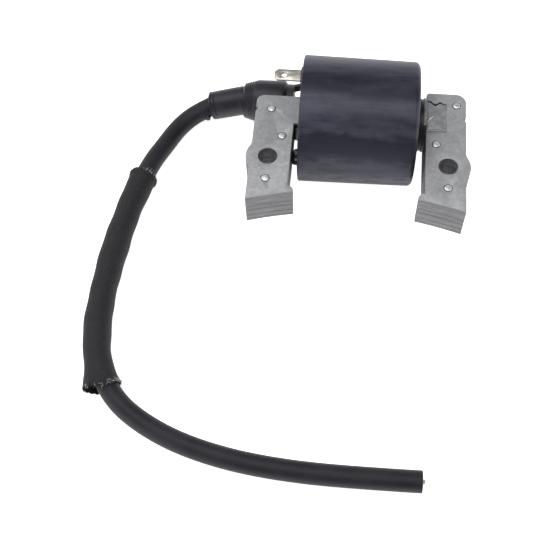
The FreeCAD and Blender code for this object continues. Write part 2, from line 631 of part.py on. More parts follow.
def strand_ends():
    """Six strands of the lead's core laid round a seventh, where they stand out of the cut end."""
    end = ROUTE[-1]
    out = (end - ROUTE[-2]).normalize()
    across = out.cross(Vec(0, 0, 1)).normalize()
    up = across.cross(out)
    wire_r = STRAND_D / 6 - 0.01
    strands = [Part.makeCylinder(wire_r, STRAND_OUT, end, out)]
    for index in range(6):
        angle = index * math.pi / 3
        side = (across * math.cos(angle) + up * math.sin(angle)) * (STRAND_D / 3)
        strands.append(Part.makeCylinder(wire_r, STRAND_OUT, end + side, out))
    return Part.makeCompound(strands)


# ---------------------------------------------------------------- build
def main():
    os.makedirs("parts", exist_ok=True)
    make_core()
    make_rivets()
    save("joint_filler", joint_filler())

    contact = contact_wire(CONTACT_R)
    tower = lead_tower(contact)
    blade = blade_terminal()
    tab = earth_tab()
    bobbin = primary_bobbin()
    winding = ring(COIL_LEFT_X + FLANGE_T, COIL_RIGHT_X - FLANGE_T, BOBBIN_R, PRIMARY_R)
    wrap = ring(COIL_LEFT_X, COIL_RIGHT_X, PRIMARY_R, WRAP_R)
    inside = {
        "primary_bobbin": bobbin,
        "primary_winding": winding,
        "interlayer_wrap": wrap,
        "secondary_bobbin": secondary_bobbin(),
        "secondary_winding": secondary_sections(),
        "ht_contact": contact,
        "lead_tower": tower,
        "blade_terminal": blade,
        "earth_tab": tab,
    }
    inside.update(board_parts())
    for name, shape in inside.items():
        save(name, shape)
    save("coil_case", case_shell())
    save("potting_resin", resin_fill(inside.values()))
    save("resin_beads", resin_beads())
    save("blade_seal", blade_seal(blade))
    save("tower_strut", tower_strut())
    save("tower_boot", tower_boot())

    collar, inner_lead = collar_parts()
    save("lead_collar", collar)
    save("lead_inner_end", inner_lead.cut(contact))
    jacket, sleeve = lead_parts()
    save("lead_jacket", jacket)
    save("braided_sleeve", sleeve)
    save("lead_strands", strand_ends())
    print("floor z %.2f" % FLOOR_Z)


main()
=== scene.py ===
# %% [markdown]
# # An ignition coil, modelled round a fixed frame
#
# A small engine's ignition coil is a round moulded case on a U-shaped steel core, with a thick
# rubber lead that carries the spark. Every length here is in metres, and every place comes from
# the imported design, so a piece is made where it belongs and never fitted afterwards.

# %% Load the frame
import bisect
import math
import random
import bpy
from mathutils import Matrix, Vector


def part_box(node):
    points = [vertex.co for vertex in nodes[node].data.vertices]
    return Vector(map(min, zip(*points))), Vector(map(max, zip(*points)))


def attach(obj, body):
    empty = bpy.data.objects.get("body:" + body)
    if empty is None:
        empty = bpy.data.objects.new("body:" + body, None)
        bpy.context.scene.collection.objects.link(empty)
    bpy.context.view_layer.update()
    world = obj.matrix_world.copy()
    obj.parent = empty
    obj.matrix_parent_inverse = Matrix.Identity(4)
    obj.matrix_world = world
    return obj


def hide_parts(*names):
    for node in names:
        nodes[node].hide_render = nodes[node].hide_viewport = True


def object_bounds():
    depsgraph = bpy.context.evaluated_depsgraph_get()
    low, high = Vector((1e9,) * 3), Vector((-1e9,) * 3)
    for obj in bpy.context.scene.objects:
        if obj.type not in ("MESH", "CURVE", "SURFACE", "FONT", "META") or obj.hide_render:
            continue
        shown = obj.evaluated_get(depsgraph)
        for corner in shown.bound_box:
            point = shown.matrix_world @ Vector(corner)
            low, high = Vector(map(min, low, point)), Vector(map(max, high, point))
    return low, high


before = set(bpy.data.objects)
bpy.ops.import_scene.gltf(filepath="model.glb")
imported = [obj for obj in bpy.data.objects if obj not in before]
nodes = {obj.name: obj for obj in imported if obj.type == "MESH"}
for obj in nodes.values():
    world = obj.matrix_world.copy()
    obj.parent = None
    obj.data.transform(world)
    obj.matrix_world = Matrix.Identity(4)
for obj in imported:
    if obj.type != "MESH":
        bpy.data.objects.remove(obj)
cad_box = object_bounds()
random.seed(11)
MM = 0.001
MERGE = 0.001 * MM              # points closer than this become one
print("CAD nodes:", len(nodes))


# %% [markdown]
# The camera looks down on the coil from in front, a little to the left of its middle. It comes
# first, because the cord's check asks what the camera sees.

# %% Camera
camera_data = bpy.data.cameras.new("camera")
camera_data.lens = 64.0
camera_data.sensor_width = 36.0
camera = bpy.data.objects.new("camera", camera_data)
camera.location = (-0.0034, -0.1945, 0.28535)
camera.rotation_mode = "ZYX"
camera.rotation_euler = (math.radians(28.69), math.radians(3.77), math.radians(3.89))
bpy.context.scene.collection.objects.link(camera)
bpy.context.scene.camera = camera


# %% [markdown]
# ## The lead
#
# The lead is a limp rubber cord, shown from end to end, so its route is a given list of places. A
# NURBS spline takes them as control points and rounds the corners by itself, as a stiff cord does.
# Its order is set after the points are there, or Blender keeps straight runs.

# %% The lead as one spline
LEAD_R = 3.5 * MM
LEAD_ROUTE = [
    (-0.0557, 0.0367, -0.0073), (-0.0608, 0.0337, -0.0081), (-0.0651, 0.0298, -0.0088),
    (-0.0683, 0.0250, -0.0090), (-0.0711, 0.0183, -0.0086), (-0.0749, 0.0092, -0.0076),
    (-0.0790, -0.0062, -0.0076), (-0.0815, -0.0218, -0.0076), (-0.0831, -0.0390, -0.0076),
    (-0.0833, -0.0565, -0.0076), (-0.0807, -0.0715, -0.0076), (-0.0734, -0.0830, -0.0077),
    (-0.0644, -0.0896, -0.0090), (-0.0509, -0.0959, -0.0090), (-0.0336, -0.1002, -0.0090),
    (-0.0143, -0.1022, -0.0090), (0.0056, -0.1025, -0.0090), (0.0261, -0.1021, -0.0090),
]


def spline_piece(name, points, radius):
    """A NURBS cord through control points, round in section where radius isn't 0."""
    data = bpy.data.curves.new(name, "CURVE")
    data.dimensions = "3D"
    spline = data.splines.new("NURBS")
    spline.points.add(len(points) - 1)
    for knot, place in zip(spline.points, points):
        knot.co = (*place, 1.0)
    spline.order_u = 3
    spline.use_endpoint_u = True
    data.resolution_u = 12
    data.bevel_depth = radius
    data.bevel_resolution = 12
    data.use_fill_caps = True
    piece = bpy.data.objects.new(name, data)
    bpy.context.scene.collection.objects.link(piece)
    return piece


lead = spline_piece("high_tension_lead", LEAD_ROUTE, LEAD_R)


# %% [markdown]
# The braided sleeve has to follow the same line as the lead. A curve with no bevel turns into a
# chain of points, and from those come a place and two directions at any distance along it.

# %% Distance along the lead
guide = spline_piece("guide", LEAD_ROUTE, 0.0)
guide_mesh = bpy.data.meshes.new_from_object(guide)
path = [v.co.copy() for v in guide_mesh.vertices]
bpy.data.objects.remove(guide)
travelled = [0.0]
for here, there in zip(path, path[1:]):
    travelled.append(travelled[-1] + (there - here).length)
print("lead length %.1f mm" % (travelled[-1] / MM))


def along(distance):
    """Place on the lead's centre line, and the directions ahead, sideways and up."""
    index = min(max(bisect.bisect_right(travelled, distance) - 1, 0), len(path) - 2)
    share = (distance - travelled[index]) / (travelled[index + 1] - travelled[index])
    here = path[index].lerp(path[index + 1], share)
    before = path[max(index - 1, 0)]
    after = path[min(index + 2, len(path) - 1)]
    ahead = (after - before).normalized()
    side = ahead.cross(Vector((0, 0, 1))).normalized()
    return here, ahead, side, side.cross(ahead)


def distance_at(y):
    """How far along the lead it first passes a place in Y."""
    return next(d for d, place in zip(travelled, path) if place.y < y)


# %% [markdown]
# ## Small helpers for modelling
#
# Operators act on whatever is selected, so each piece starts from nothing selected. A turned
# shape is modelled as on a lathe: a disc is extruded from station to station along its axis and
# made wider or narrower at each, and then the whole piece is laid along its real direction.

# %% Lathe and finish helpers
def start_clean():
    if bpy.context.object and bpy.context.object.mode != "OBJECT":
        bpy.ops.object.mode_set(mode="OBJECT")
    bpy.ops.object.select_all(action="DESELECT")


def only(piece):
    """Make one piece the selected and active one."""
    start_clean()
    piece.select_set(True)
    bpy.context.view_layer.objects.active = piece


def settle(piece, angle=35):
    """Put the place into the mesh, face the normals outwards and shade the round parts smooth."""
    only(piece)
    bpy.ops.object.transform_apply(location=True, rotation=True, scale=True)
    bpy.ops.object.mode_set(mode="EDIT")
    bpy.ops.mesh.select_all(action="SELECT")
    bpy.ops.mesh.remove_doubles(threshold=MERGE)
    bpy.ops.mesh.normals_make_consistent(inside=False)
    bpy.ops.object.mode_set(mode="OBJECT")
    bpy.ops.object.shade_smooth_by_angle(angle=math.radians(angle))


def apply_modifier(piece, kind, **settings):
    only(piece)
    modifier = piece.modifiers.new(kind.lower(), kind)
    for key, value in settings.items():
        setattr(modifier, key, value)
    bpy.ops.object.modifier_apply(modifier=modifier.name)


def turned(name, start, direction, stations, steps=96, hollow=False):
    """Lathe shape from (distance, radius) stations. A hollow one ends where it started."""
    start_clean()
    first, radius = stations[0]
    fill = "NOTHING" if hollow else "NGON"
    bpy.ops.mesh.primitive_circle_add(vertices=steps, radius=radius, fill_type=fill,
                                      location=(0, 0, first))
    piece = bpy.context.object
    piece.name = name
    bpy.ops.object.mode_set(mode="EDIT")
    bpy.ops.mesh.select_all(action="SELECT")
    for (last, narrow), (now, wide) in zip(stations, stations[1:]):
        bpy.ops.mesh.extrude_region_move(TRANSFORM_OT_translate={"value": (0, 0, now - last)})
        grow = wide / narrow
        bpy.ops.transform.resize(value=(grow, grow, 1), center_override=(0, 0, now))
    bpy.ops.object.mode_set(mode="OBJECT")
    lay = Vector((0, 0, 1)).rotation_difference(Vector(direction)).to_matrix().to_4x4()
    piece.matrix_world = Matrix.Translation(Vector(start)) @ lay @ piece.matrix_world
    settle(piece)
    return piece


def join(name, parts):
    """Several meshes as one piece."""
    only(parts[0])
    for part in parts:
        part.select_set(True)
    bpy.ops.object.join()
    parts[0].name = name
    return parts[0]


# %% [markdown]
# ## Finishes as arithmetic
#
# A shader is a sum of masks, so it reads best as a sum. This small class wraps the output of a
# node, and each sign between two of them adds the Math node that does it. Every other kind of
# node comes from the one method of the finish itself.

# %% Socket arithmetic
class Value:
    """The output of a shader node, which can be added, subtracted, multiplied and raised."""

    def __init__(self, finish, socket):
        self.finish = finish
        self.socket = socket

    def _math(self, operation, first, second):
        return self.finish.node("ShaderNodeMath", {"operation": operation}, {0: first, 1: second})

    def __add__(self, other):
        return self._math("ADD", self, other)

    def __radd__(self, other):
        return self._math("ADD", other, self)

    def __sub__(self, other):
        return self._math("SUBTRACT", self, other)

    def __rsub__(self, other):
        return self._math("SUBTRACT", other, self)

    def __mul__(self, other):
        return self._math("MULTIPLY", self, other)

    def __rmul__(self, other):
        return self._math("MULTIPLY", other, self)

    def __pow__(self, other):
        return self._math("POWER", self, other)

    def over(self, low, high):
        """0 below low, 1 above high, and a soft step between."""
        return self.finish.node("ShaderNodeMapRange", {"interpolation_type": "SMOOTHSTEP"},
                                {"Value": self, "From Min": low, "From Max": high})


class Finish:
    """A material: the nodes of one finish, ending in one Principled shader."""

    def __init__(self, name):
        self.material = bpy.data.materials.new(name)
        self.material.use_nodes = True
        self.tree = self.material.node_tree
        self.shader = self.tree.nodes["Principled BSDF"]
        self.place = self.node("ShaderNodeTexCoord", output="Object")

    def node(self, kind, settings=None, inputs=None, output=0):
        made = self.tree.nodes.new(kind)
        for key, value in (settings or {}).items():
            setattr(made, key, value)
        for key, value in (inputs or {}).items():
            self.feed(made.inputs[key], value)
        return Value(self, made.outputs[output])

    def feed(self, socket, value):
        if isinstance(value, Value):
            self.tree.links.new(value.socket, socket)
        else:
            socket.default_value = value

    def stretched(self, scale):
        """Object coordinates with a different scale along each axis."""
        return self.node("ShaderNodeMapping", None, {"Vector": self.place, "Scale": scale})

    def noise(self, scale, detail=3.0, rough=0.55, where=None):
        return self.node("ShaderNodeTexNoise", None,
                         {"Vector": where or self.place, "Scale": scale, "Detail": detail,
                          "Roughness": rough})

    def specks(self, scale, where=None):
        """Distance to the nearest of many scattered points, for dots and pits."""
        return self.node("ShaderNodeTexVoronoi", None,
                         {"Vector": where or self.place, "Scale": scale})

    def mix(self, first, second, factor):
        """Blend of two colours."""
        return self.node("ShaderNodeMix", {"data_type": "RGBA"},
                         {0: factor, 6: first, 7: second}, output=2)

    def bump(self, height, distance, strength=1.0):
        return self.node("ShaderNodeBump", None,
                         {"Height": height, "Distance": distance, "Strength": strength})

    def shade(self, **sockets):
        """Set or link the shader's own sockets: base_color means Base Color, and so on."""
        for key, value in sockets.items():
            name = key.replace("_", " ").title().replace("Ior", "IOR")
            self.feed(self.shader.inputs[name], value)
        return self.material


def rgb(red, green, blue):
    return (red, green, blue, 1.0)


# %% [markdown]
# ## Steel
#
# The core is a stack of thin electrical-steel sheets. Their faces are matt light grey with a
# cloudy oxide, fine pits and a few stains. The cut edges are darker, because each burr and gap
# holds a little shadow and rust.

# %% Steel finishes
SHEET = 0.7 * MM
SEAM_HEIGHT = 6.3 * MM


def steel_face():
    paint = Finish("steel_sheet_face")
    cloud = paint.noise(110.0, 5.0, 0.6)
    grain = paint.noise(3000.0, 2.0)
    mottle = paint.noise(900.0, 3.0, 0.6)
    stain = paint.noise(240.0, 5.0, 0.7).over(0.63, 0.76)
    pits = 1.0 - paint.specks(800.0).over(0.05, 0.20)
    tone = cloud * 0.4 + mottle * 0.35 + grain * 0.25
    color = paint.mix(rgb(0.315, 0.317, 0.325), rgb(0.49, 0.492, 0.50), tone.over(0.34, 0.66))
    color = paint.mix(color, rgb(0.17, 0.165, 0.16), stain * 0.4)
    color = paint.mix(color, rgb(0.12, 0.12, 0.12), pits * 0.3)
    return paint.shade(base_color=color, metallic=0.45, roughness=0.5 + grain * 0.18,
                       normal=paint.bump(grain * 0.5 + mottle * 0.5, 0.00006, 0.6))


def steel_edge():
    """Cut edges: a tone for every sheet, a dark seam between two, and one wider split."""
    paint = Finish("steel_sheet_edge")
    height = paint.node("ShaderNodeSeparateXYZ", None, {"Vector": paint.place}, output="Z")
    layer = height * (1.0 / SHEET)
    across = paint.node("ShaderNodeMath", {"operation": "FRACT"}, {0: layer})
    middle = paint.node("ShaderNodeMath", {"operation": "ABSOLUTE"}, {0: across - 0.5})
    seam = middle.over(0.30, 0.47)
    sheet = paint.node("ShaderNodeMath", {"operation": "FLOOR"}, {0: layer})
    tint = paint.node("ShaderNodeTexWhiteNoise", {"noise_dimensions": "1D"}, {"W": sheet})
    offset = paint.node("ShaderNodeMath", {"operation": "ABSOLUTE"}, {0: height - SEAM_HEIGHT})
    split = 1.0 - offset.over(0.10 * MM, 0.38 * MM)
    scuff = paint.noise(1.0, 3.0, where=paint.stretched((120.0, 120.0, 2600.0)))
    grain = paint.noise(2400.0, 2.0)
    rust = paint.noise(180.0, 5.0, 0.7).over(0.6, 0.74)
    tone = tint * 0.4 + scuff.over(0.3, 0.7) * 0.4 + grain * 0.2
    color = paint.mix(rgb(0.095, 0.095, 0.10), rgb(0.32, 0.322, 0.33), tone)
    color = paint.mix(color, rgb(0.12, 0.10, 0.085), rust * 0.25)
    color = paint.mix(color, rgb(0.05, 0.05, 0.05), seam * 0.6)
    color = paint.mix(color, rgb(0.03, 0.03, 0.03), split * 0.6)
    return paint.shade(base_color=color, metallic=0.45, roughness=0.5 + grain * 0.2,
                       normal=paint.bump(grain * 0.4 - seam, 0.00008, 0.7))


def bright_rivet():
    paint = Finish("bright_rivet")
    grain = paint.noise(2200.0, 3.0)
    color = paint.mix(rgb(0.62, 0.62, 0.62), rgb(0.92, 0.92, 0.91), grain.over(0.35, 0.65))
    return paint.shade(base_color=color, metallic=0.7, roughness=0.26 + grain * 0.2,
                       normal=paint.bump(grain, 0.00004, 0.5))


# The dark edge of a rivet head is painted shade where the head meets the sheet.
def edge_shade_finish():
    paint = Finish("rivet_edge_shade")
    grain = paint.noise(2000.0, 3.0)
    color = paint.mix(rgb(0.03, 0.03, 0.03), rgb(0.09, 0.088, 0.085), grain)
    return paint.shade(base_color=color, metallic=0.4, roughness=0.6)


def tinned():
    paint = Finish("tinned_terminal")
    brushed = paint.noise(900.0, 3.0, where=paint.stretched((0.15, 1.0, 1.0)))
    cloud = paint.noise(300.0, 3.0)
    color = paint.mix(rgb(0.45, 0.42, 0.37), rgb(0.70, 0.67, 0.61), cloud.over(0.3, 0.7))
    return paint.shade(base_color=color, metallic=0.85, roughness=0.28 + brushed * 0.16,
                       normal=paint.bump(brushed, 0.00002, 0.5))


# %% [markdown]
# ## Plastics, resin and rubber
#
# The case is a dark moulding, handled and dusty: its satin skin has broad cloudy smudges and a
# few fine rubs. The resin is glossier and pools in slow waves. Rubber is duller, with dust.

# %% Dark finishes
# (centre, half width, depth) of each band of painted shade, across the case in Y
PAINTED_SHADE_BANDS = ((1.2 * MM, 3.2 * MM, 0.85), (19.0 * MM, 3.5 * MM, 0.25))


def case_skin():
    """Satin moulding with long smudges, and darker bands of painted shade at fixed places across Y.
    """
    paint = Finish("case_moulding")
    bands = paint.noise(150.0, 3.0, where=paint.stretched((0.16, 1.0, 1.0)))
    smudge = paint.noise(330.0, 6.0, 0.68, where=paint.stretched((0.4, 1.0, 1.0)))
    fine = paint.noise(1500.0, 3.0)
    rubs = paint.noise(420.0, 2.0, where=paint.stretched((0.12, 1.0, 1.0))).over(0.6, 0.72)
    dust = 1.0 - paint.specks(1300.0).over(0.04, 0.13)
    level = paint.node("ShaderNodeSeparateXYZ", None, {"Vector": paint.place}, output="Y")
    level = level + (smudge - 0.5) * (7.0 * MM)
    # painted shade: the colour is darkened in fixed bands across the case in Y
    painted_shade = 0.0
    for centre, half, depth in PAINTED_SHADE_BANDS:
        offset = paint.node("ShaderNodeMath", {"operation": "ABSOLUTE"}, {0: level - centre})
        painted_shade = (1.0 - offset.over(half * 0.35, half)) * depth + painted_shade
    tone = (bands * 0.65 + smudge * 0.35).over(0.36, 0.66)
    color = paint.mix(rgb(0.006, 0.0065, 0.015), rgb(0.046, 0.047, 0.065), tone)
    color = paint.mix(color, rgb(0.10, 0.10, 0.115), rubs * 0.14 + dust * 0.10)
    color = paint.mix(color, rgb(0.003, 0.0035, 0.010), painted_shade)
    rough = 0.36 + smudge * 0.22 + rubs * 0.1 + painted_shade * 0.12
    return paint.shade(base_color=color, roughness=rough, specular_ior_level=0.45,
                       specular_tint=rgb(0.84, 0.87, 1.0),
                       normal=paint.bump(fine * 0.6 + smudge * 0.4, 0.00005, 0.6))


def black_moulding():
    paint = Finish("black_moulding")
    cloud = paint.noise(200.0, 4.0)
    fine = paint.noise(1800.0, 2.0)
    color = paint.mix(rgb(0.006, 0.0065, 0.008), rgb(0.020, 0.021, 0.024), cloud.over(0.35, 0.7))
    return paint.shade(base_color=color, roughness=0.38 + cloud * 0.2,
                       normal=paint.bump(fine, 0.00004, 0.5))


def cast_resin():
    paint = Finish("cast_resin")
    wave = paint.noise(130.0, 2.0)
    cloud = paint.noise(420.0, 4.0)
    bubbles = 1.0 - paint.specks(650.0).over(0.05, 0.2)
    color = paint.mix(rgb(0.006, 0.006, 0.007), rgb(0.02, 0.02, 0.022), cloud)
    return paint.shade(base_color=color, roughness=0.12 + cloud * 0.16,
                       normal=paint.bump(wave - bubbles * 0.15, 0.0006, 0.6))


def varnish():
    paint = Finish("joint_varnish")
    cloud = paint.noise(500.0, 3.0)
    color = paint.mix(rgb(0.31, 0.312, 0.318), rgb(0.42, 0.422, 0.43), cloud.over(0.35, 0.65))
    return paint.shade(base_color=color, metallic=0.4, roughness=0.30 + cloud * 0.14,
                       normal=paint.bump(cloud, 0.00008, 0.6))


def rubber(name, low, high, rough):
    paint = Finish(name)
    cloud = paint.noise(120.0, 4.0)
    fine = paint.noise(1600.0, 3.0)
    dust = 1.0 - paint.specks(1100.0).over(0.04, 0.14)
    color = paint.mix(rgb(low, low * 0.95, low * 1.3), rgb(high, high * 0.95, high * 1.3),
                      cloud.over(0.35, 0.7))
    color = paint.mix(color, rgb(0.14, 0.14, 0.15), dust * 0.12)
    return paint.shade(base_color=color, roughness=rough + cloud * 0.16,
                       specular_tint=rgb(0.90, 0.90, 1.0),
                       normal=paint.bump(fine, 0.00004, 0.5))


# %% [markdown]
# ## Inside the case
#
# The windings, the bobbins and the board can't be seen, but they are there, so each takes a
# plain finish of its own kind with some grain in it.

# %% Inner finishes
def grained(name, low, high, scale, rough, metallic=0.0):
    """Two tones of one stuff, in a grain of a given fineness."""
    paint = Finish(name)
    grain = paint.noise(scale, 4.0)
    color = paint.mix(rgb(*low), rgb(*high), grain.over(0.35, 0.65))
    return paint.shade(base_color=color, metallic=metallic, roughness=rough + grain * 0.15,
                       normal=paint.bump(grain, 0.00003, 0.5))


def wound_wire():
    """Turns of enamelled wire, as fine rings round the coil's axis."""
    paint = Finish("wound_wire")
    turns = paint.node("ShaderNodeTexWave", {"wave_type": "BANDS", "bands_direction": "X"},
                       {"Vector": paint.place, "Scale": 900.0, "Distortion": 0.6})
    color = paint.mix(rgb(0.16, 0.045, 0.015), rgb(0.62, 0.25, 0.09), turns)
    return paint.shade(base_color=color, metallic=0.7, roughness=0.3 + turns * 0.1,
                       normal=paint.bump(turns, 0.0001, 0.7))


finishes = {
    "steel_face": steel_face(), "steel_edge": steel_edge(), "rivet": bright_rivet(),
    "ring": edge_shade_finish(), "tinned": tinned(), "case": case_skin(), "moulding": black_moulding(),
    "resin": cast_resin(), "varnish": varnish(), "wire": wound_wire(),
    "boot": rubber("boot_rubber", 0.004, 0.012, 0.38),
    "lead": rubber("lead_rubber", 0.003, 0.010, 0.52),
    "film": grained("amber_film", (0.30, 0.20, 0.05), (0.6, 0.44, 0.16), 600.0, 0.25),
    "board": grained("circuit_board", (0.02, 0.08, 0.035), (0.05, 0.18, 0.08), 900.0, 0.4),
    "chip": grained("component_black", (0.01, 0.01, 0.01), (0.04, 0.04, 0.04), 1500.0, 0.45),
    "strand": grained("core_strand", (0.52, 0.50, 0.47), (0.85, 0.83, 0.80), 2500.0, 0.3, 0.8),
    # painted shade for the varnish film's upper edge
    "edge_shade": grained("painted_edge_shade", (0.002, 0.002, 0.002), (0.01, 0.01, 0.01), 1500.0, 0.7),
    # painted glint across the varnish film
    "glint": grained("painted_glint", (0.75, 0.75, 0.75), (0.95, 0.95, 0.95), 1500.0, 0.5),
    "smear": grained("varnish_smear", (0.10, 0.10, 0.105), (0.30, 0.30, 0.31), 1400.0, 0.45),
    # painted shade inside the sleeve, seen through the braid's pin holes
    "shade_lining": grained("sleeve_shadow", (0.001, 0.001, 0.001), (0.004, 0.004, 0.005), 900.0, 0.8),
    "yarn": grained("braid_yarn", (0.0012, 0.0012, 0.002), (0.010, 0.010, 0.014), 1100.0, 0.55),
    # near-white filaments: painted glints on the sleeve's cut ends
    "fibre_glint": grained("fibre_glint", (0.40, 0.40, 0.39), (0.8, 0.8, 0.78), 2000.0, 0.7),
}
print("finishes:", len(finishes))


# %% [markdown]
# Pieces whose shape is already right in the design keep it and only take a better finish.

# %% Finishes of the carried-over nodes
def dress(piece, *names):
    """Give a piece its finishes, one material slot each."""
    piece.data.materials.clear()
    for name in names:
        piece.data.materials.append(finishes[name])


KEPT = {
    "primary_bobbin": "moulding", "secondary_bobbin": "moulding", "primary_winding": "wire",
    "secondary_winding": "wire", "interlayer_wrap": "film", "trigger_board": "board",
    "power_transistor": "chip", "trigger_transistor": "chip", "board_resistors": "chip",
    "clamp_diode": "chip", "ht_contact": "tinned", "lead_inner_end": "lead",
    "potting_resin": "resin", "lead_tower": "moulding", "tower_strut": "moulding",
    "joint_filler": "varnish", "lead_strands": "strand",
}
for node, finish in KEPT.items():
    dress(nodes[node], finish)


# %% [markdown]
# ## The laminated core
#
# Each leg is really a stack of stamped sheets, and a stack shows as fine lines along its sides.
# One sheet is taken from the design and cleaned up, its stamped edge is rounded over, and then
# it is copied up the stack. Each copy slips a hair sideways, as sheets do under the rivets.

# %% One sheet, then the stack
SLIP = 0.035 * MM
STAMPED_ROUND = 0.07 * MM
FLAT = 0.9                      # a face whose normal is this upright belongs to a sheet's flat


def first_sheet(node):
    """The lowest sheet of a stack as a clean mesh of its own."""
    start_clean()
    sheet = nodes[node].copy()
    sheet.data = nodes[node].data.copy()
    sheet.parent = None
    bpy.context.scene.collection.objects.link(sheet)
    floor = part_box(node)[0][2]
    top = floor + SHEET
    for face in sheet.data.polygons:
        heights = [sheet.data.vertices[i].co.z for i in face.vertices]
        above = max(heights) > top + SHEET / 4
        next_floor = min(heights) > top - SHEET / 4 and face.normal.z < 0
        face.select = above or next_floor
    for edge in sheet.data.edges:
        edge.select = False
    for vertex in sheet.data.vertices:
        vertex.select = False
    only(sheet)
    bpy.ops.object.mode_set(mode="EDIT")
    bpy.ops.mesh.select_mode(type="FACE")
    bpy.ops.mesh.delete(type="FACE")
    bpy.ops.mesh.select_mode(type="VERT")
    bpy.ops.mesh.select_all(action="SELECT")
    bpy.ops.mesh.remove_doubles(threshold=MERGE)
    bpy.ops.mesh.dissolve_limited(angle_limit=math.radians(1.0))
    bpy.ops.object.mode_set(mode="OBJECT")
    apply_modifier(sheet, "BEVEL", width=STAMPED_ROUND, segments=2, limit_method="ANGLE",
                   angle_limit=math.radians(50))
    print(node, "sheet faces", len(sheet.data.polygons))
    return sheet


def stack(name, node, count):
    """Copies of one sheet up the stack, joined, with face and edge finishes."""
    base = first_sheet(node)
    sheets = [base]
    for index in range(1, count):
        sheet = base.copy()
        sheet.data = base.data.copy()
        bpy.context.scene.collection.objects.link(sheet)
        sheet.location = (random.uniform(-SLIP, SLIP), random.uniform(-SLIP, SLIP), index * SHEET)
        sheets.append(sheet)
    piece = join(name, sheets)
    only(piece)
    bpy.ops.object.transform_apply(location=True, rotation=True, scale=True)
    bpy.ops.object.shade_smooth_by_angle(angle=math.radians(30))
    dress(piece, "steel_face", "steel_edge")
    for face in piece.data.polygons:
        face.material_index = 0 if abs(face.normal.z) > FLAT else 1
    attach(piece, "root")
    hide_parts(node)


FRONT_SHEETS = 13
REAR_SHEETS = 7
STACKS = {
    "bar_stack": ("bar_laminations", FRONT_SHEETS),
    "left_rear_stack": ("left_rear_laminations", REAR_SHEETS),
    "right_front_stack": ("right_leg_laminations", FRONT_SHEETS),
    "right_rear_stack": ("right_rear_laminations", REAR_SHEETS),
}
for name, (node, sheets) in STACKS.items():
    stack(name, node, sheets)


# %% [markdown]
# ## Rivets
#
# A rivet is peened over at each face, so its head is a low dome with a shallow ring where the
# punch pressed, and its edge is painted dark as shade where it meets the sheet. Each one is
# turned, and a leg's three are joined.

# %% Rivets in both legs
STACK_T = (FRONT_SHEETS + REAR_SHEETS) * SHEET
SHANK_R = 1.2
HEAD_R = 1.5
HEAD = [(0.32, 0.35), (0.26, 0.5), (0.30, 0.75), (0.24, 1.05), (0.06, 1.25), (0.03, HEAD_R)]
RING_R = 1.22                   # the dark edge starts here
UPRIGHT = 0.2                   # a face whose normal is flatter than this stands upright
RIVET_PLACES = {
    "left_leg_rivets": [(-31.0, 20.2), (-26.3, 8.7), (-30.5, -9.2)],
    "right_leg_rivets": [(33.2, 25.9), (26.3, 8.9), (30.5, -8.8)],
}


def rivet(x, y):
    """A rivet through the whole stack, with (height, radius) stations in millimetres."""
    thick = STACK_T / MM
    stations = [(-height, radius) for height, radius in HEAD]
    stations += [(0.0, HEAD_R), (0.0, SHANK_R), (thick, SHANK_R), (thick, HEAD_R)]
    stations += [(thick + height, radius) for height, radius in reversed(HEAD)]
    stations = [(height * MM, radius * MM) for height, radius in stations]
    piece = turned("rivet", (x * MM, y * MM, 0), (0, 0, 1), stations, steps=32)
    dress(piece, "rivet", "ring")
    # the dark finish at the head's edge is painted shade
    for face in piece.data.polygons:
        reach = math.hypot(face.center.x - x * MM, face.center.y - y * MM)
        face.material_index = 1 if reach > RING_R * MM or abs(face.normal.z) < UPRIGHT else 0
    return piece


for node, places in RIVET_PLACES.items():
    heads = join(node.replace("leg_rivets", "rivet_heads"), [rivet(x, y) for x, y in places])
    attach(heads, "root")
    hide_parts(node)


# %% [markdown]
# ## The case
#
# The case is a cup, open at its left end. It is turned as one closed wall: along the outside,
# over the rounded closed end, in to the neck's hole, and back along the inside. The rim's edge
# is rounded, because a moulding has no knife edges and a rim catches a line of light.

# %% Case
low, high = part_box("coil_case")
CASE_L = high[0] - low[0]
AXIS = Vector((low[0], (low[1] + high[1]) / 2, (low[2] + high[2]) / 2))
CASE_R = (high[2] - low[2]) / 2
TAPER = 0.5 * MM
CLOSED_R = CASE_R - TAPER
WALL = 1.8 * MM
END_WALL = 2.0 * MM
ROUND = 1.8 * MM
RIM_ROUND = 0.5 * MM
NECK_R = 8.85 * MM


def corner(x, r, radius, first, last, count):
    """Stations round a quarter of a circle, from one angle to another."""
    angles = [first + (last - first) * i / count for i in range(count + 1)]
    return [(x + radius * math.sin(a), r + radius * math.cos(a)) for a in map(math.radians, angles)]


outer = corner(RIM_ROUND, CASE_R - RIM_ROUND, RIM_ROUND, -90, 0, 5)
outer += [(CASE_L * share, CASE_R - TAPER * share) for share in (0.25, 0.5, 0.75)]
outer += corner(CASE_L - ROUND, CLOSED_R - ROUND, ROUND, 0, 90, 10)
inner = [(CASE_L, NECK_R), (CASE_L - END_WALL, NECK_R), (CASE_L - END_WALL, CLOSED_R - WALL)]
inner += [(0.0, CASE_R - WALL), outer[0]]
case = turned("case_shell", AXIS, (1, 0, 0), outer + inner, steps=160, hollow=True)
dress(case, "case")
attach(case, "root")
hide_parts("coil_case")


# %% [markdown]
# ## Tower, boot and collar
#
# The lead enters a moulded tower, and a flared rubber boot covers the joint. The boot's wide end
# has a soft lip, and its narrow end has four shallow grooves.

# %% Boot
boot_low, boot_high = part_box("tower_boot")
boot_axis = Vector((boot_high[0], (boot_low[1] + boot_high[1]) / 2,
                    (boot_low[2] + boot_high[2]) / 2))
BOOT_L = boot_high[0] - boot_low[0]
BOOT_R = (boot_high[2] - boot_low[2]) / 2
